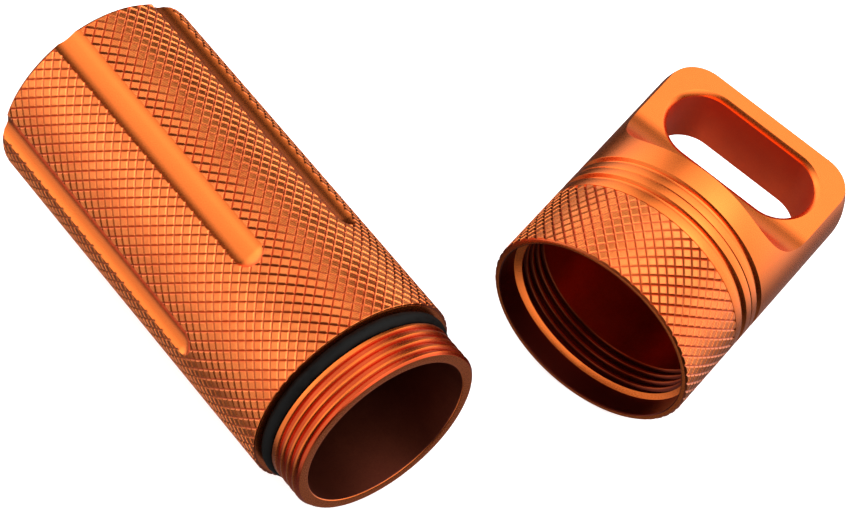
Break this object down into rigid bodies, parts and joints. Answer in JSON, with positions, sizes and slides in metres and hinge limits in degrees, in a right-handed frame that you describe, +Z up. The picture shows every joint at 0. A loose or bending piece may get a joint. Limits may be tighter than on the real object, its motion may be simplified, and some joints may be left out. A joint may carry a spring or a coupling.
{
  "type": "first aid capsule",
  "caption": "Anodised metal first aid capsule, opened: a knurled, fluted tube with a threaded neck and sealing ring, and its screw cap with a slotted lanyard tab.",
  "frame": {"origin": "middle of the footprint of the opened capsule, on the plane that both pieces lie on", "axes": "+X along the tube from its base to its neck, +Y from the tube towards the cap's tab, +Z up"},
  "size_m": [0.0976, 0.1044, 0.036],
  "materials": {
    "tube_anodised": "orange anodised, satin, fine turning lines and knurling",
    "ring_rubber": "black, slightly greased sheen",
    "cap_anodised": "orange anodised, satin, fine turning lines and knurling"
  },
  "bodies": {
    "tube": {"capsule_body": "tube_anodised", "o_ring": "ring_rubber"},
    "cap": {"screw_cap": "cap_anodised"}
  },
  "joints": [
    {"name": "cap_swing", "type": "hinge", "parent": "tube", "child": "cap", "pos_m": [0.0191, -0.01654, 0], "axis": [0, 0, -1], "range_deg": [0, 107.2]}
  ]
}
